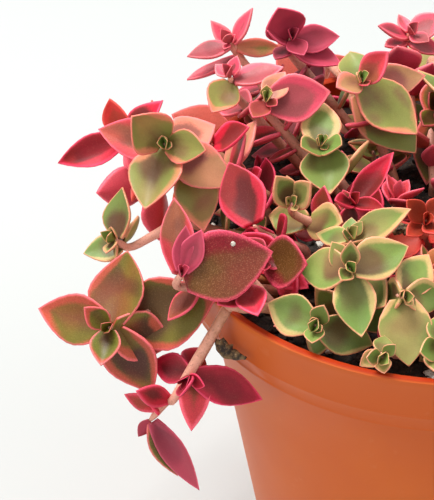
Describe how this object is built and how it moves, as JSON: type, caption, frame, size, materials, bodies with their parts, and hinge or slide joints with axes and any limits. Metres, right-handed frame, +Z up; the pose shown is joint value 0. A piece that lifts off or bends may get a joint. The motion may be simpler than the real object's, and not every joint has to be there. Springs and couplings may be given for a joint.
{
  "type": "potted calico kitten crassula",
  "caption": "Trailing crassula with opposite, pink-edged leaves spilling over the rim of a round terracotta-coloured nursery pot.",
  "frame": {"origin": "centre of the pot's flat bottom, at the height it stands on", "axes": "+Z up along the pot's axis; the picture looks along +Y, from 36 degrees above"},
  "size_m": [0.1653, 0.1545, 0.1316],
  "materials": {
    "pot": "smooth terracotta-coloured polypropylene with a satin sheen",
    "soil": "dark peaty compost with light grit",
    "foliage": "matte, finely dotted leaf: olive green centre, cream-pink to magenta margin",
    "withered": "dry, curled brown leaf"
  },
  "bodies": {
    "root": {"pot": "pot", "soil": "soil", "withered_leaf": "withered", "shoot_front_left": "foliage", "shoot_upper_left": "foliage", "shoot_upper_left_back": "foliage", "shoot_left_green": "foliage", "shoot_middle": "foliage", "shoot_centre_left": "foliage", "shoot_red_upright": "foliage", "shoot_low_middle": "foliage", "shoot_hanging": "foliage", "shoot_top_left": "foliage", "shoot_top_middle": "foliage", "shoot_top_low": "foliage", "shoot_centre_rosette": "foliage", "shoot_right_top": "foliage", "shoot_far_right": "foliage", "shoot_inner_green": "foliage", "shoot_inner_green_low": "foliage", "shoot_front_green": "foliage", "shoot_front_middle": "foliage", "shoot_front_right": "foliage", "shoot_front_edge": "foliage", "shoot_corner_green": "foliage", "shoot_low_edge_on": "foliage", "shoot_inner_red": "foliage", "shoot_right_red": "foliage", "shoot_pink_pair": "foliage", "shoot_right_olive": "foliage", "shoot_right_rim_1": "foliage", "shoot_right_rim_2": "foliage", "shoot_right_rim_3": "foliage", "shoot_right_rim_4": "foliage", "shoot_right_rim_5": "foliage", "shoot_right_rim_6": "foliage", "shoot_right_rim_7": "foliage", "shoot_back_rim_1": "foliage", "shoot_back_rim_2": "foliage", "shoot_back_rim_3": "foliage", "shoot_back_rim_4": "foliage", "shoot_right_ring_1": "foliage", "shoot_right_ring_2": "foliage", "shoot_right_ring_3": "foliage", "shoot_right_ring_4": "foliage", "shoot_right_ring_5": "foliage", "shoot_right_core_1": "foliage", "shoot_right_core_2": "foliage", "shoot_right_core_3": "foliage", "shoot_right_core_4": "foliage"}
  },
  "joints": []
}
